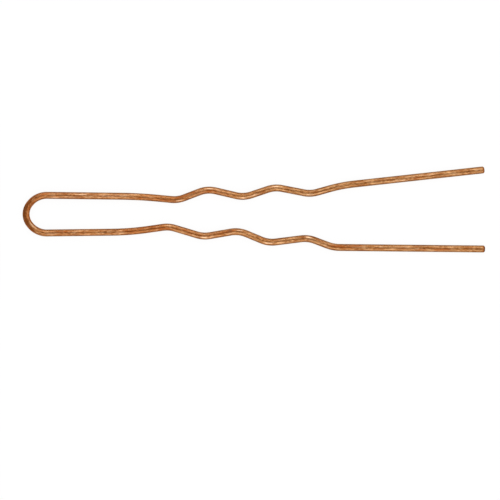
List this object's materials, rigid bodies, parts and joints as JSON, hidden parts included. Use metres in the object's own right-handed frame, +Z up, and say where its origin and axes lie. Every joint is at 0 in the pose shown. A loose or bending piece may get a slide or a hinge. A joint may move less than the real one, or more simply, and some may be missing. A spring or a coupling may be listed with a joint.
{
  "type": "hairpin",
  "caption": "Open U-shaped crimped hairpin of round bronze-lacquered spring wire, with plain shanks, pressed waves along the legs and straight flared tips that spring apart to hold hair.",
  "frame": {"origin": "middle of the pin's outline, on the surface that it lies on", "axes": "+X from the bow to the tips, +Y across the legs towards the more flared one, +Z up from the surface that the pin lies flat on"},
  "size_m": [0.07, 0.013, 0.0011],
  "materials": {
    "spring_steel": "drawn spring-steel wire, sealed under the lacquer",
    "bronze_lacquer": "glossy bronze metallic lacquer with fine lengthwise marks"
  },
  "bodies": {
    "bow": {"bow_wire": "spring_steel", "bow_lacquer": "bronze_lacquer"},
    "upper_leg": {"upper_leg_wire": "spring_steel", "upper_leg_lacquer": "bronze_lacquer"},
    "lower_leg": {"lower_leg_wire": "spring_steel", "lower_leg_lacquer": "bronze_lacquer"}
  },
  "joints": [
    {"name": "upper_leg_flex", "type": "hinge", "parent": "bow", "child": "upper_leg", "pos_m": [-0.02548, 0.00206, 0.00053], "axis": [0, 0, 1], "range_deg": [-5, 8], "stiffness_Nm_per_rad": 0.321, "deforming": ["bow_wire", "bow_lacquer"]},
    {"name": "lower_leg_flex", "type": "hinge", "parent": "bow", "child": "lower_leg", "pos_m": [-0.02548, -0.0035, 0.00053], "axis": [0, 0, 1], "range_deg": [-8, 5], "stiffness_Nm_per_rad": 0.321, "deforming": ["bow_wire", "bow_lacquer"]}
  ]
}
